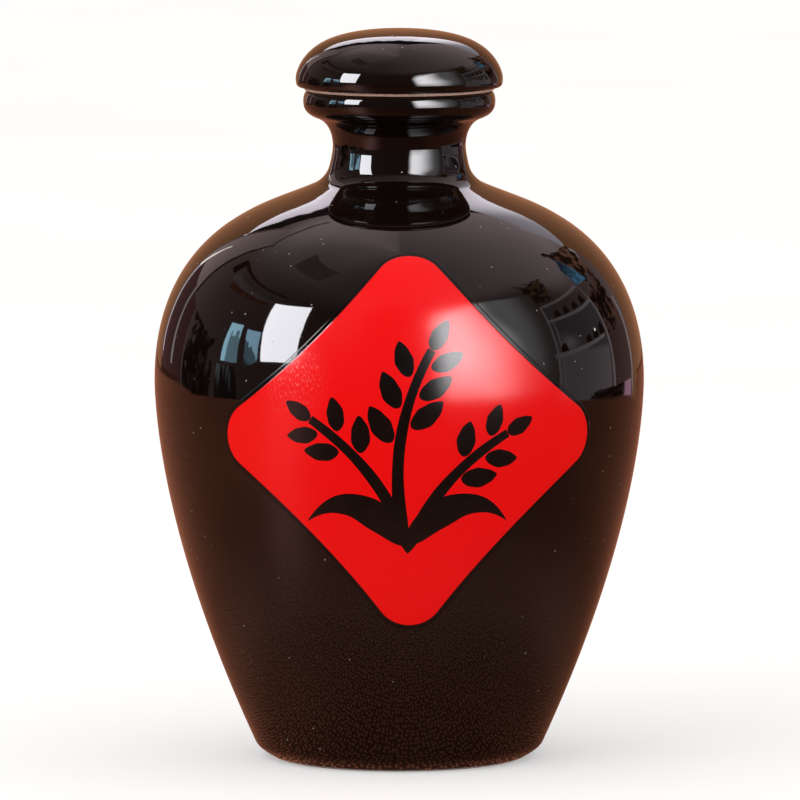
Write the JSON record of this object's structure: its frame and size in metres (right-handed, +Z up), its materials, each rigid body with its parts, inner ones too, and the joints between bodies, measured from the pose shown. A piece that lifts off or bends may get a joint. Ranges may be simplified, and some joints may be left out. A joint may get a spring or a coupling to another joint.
{
  "type": "vinegar jar",
  "caption": "Glazed stoneware storage jar with a narrow neck, a stopper lid on finned seal rings, and a diamond film label on its front.",
  "frame": {"origin": "middle of the foot, on the surface that the jar stands on", "axes": "+Z up along the jar's turning axis; the label's middle faces -Y; +X is to the right of someone who faces the label"},
  "size_m": [0.1698, 0.1704, 0.2531],
  "materials": {
    "jar_glaze": "glossy dark brown glaze, bare clay under the foot",
    "lid_glaze": "glossy dark brown glaze, bare clay seat ring",
    "silicone": "satin milky silicone",
    "label_film": "glossy red film with a clear edge and a black painted spray"
  },
  "bodies": {
    "jar": {"jar_body": "jar_glaze", "front_label": "label_film"},
    "seals": {"seal_ring_upper": "silicone", "seal_ring_lower": "silicone"},
    "lid": {"lid": "lid_glaze"}
  },
  "joints": [
    {"name": "lid_lift", "type": "slide", "parent": "jar", "child": "seals", "axis": [0, 0, 1], "range_m": [0, 0.04]},
    {"name": "lid_turn", "type": "hinge", "parent": "seals", "child": "lid", "pos_m": [0, 0, 0.232], "axis": [0, 0, 1], "continuous": true}
  ]
}
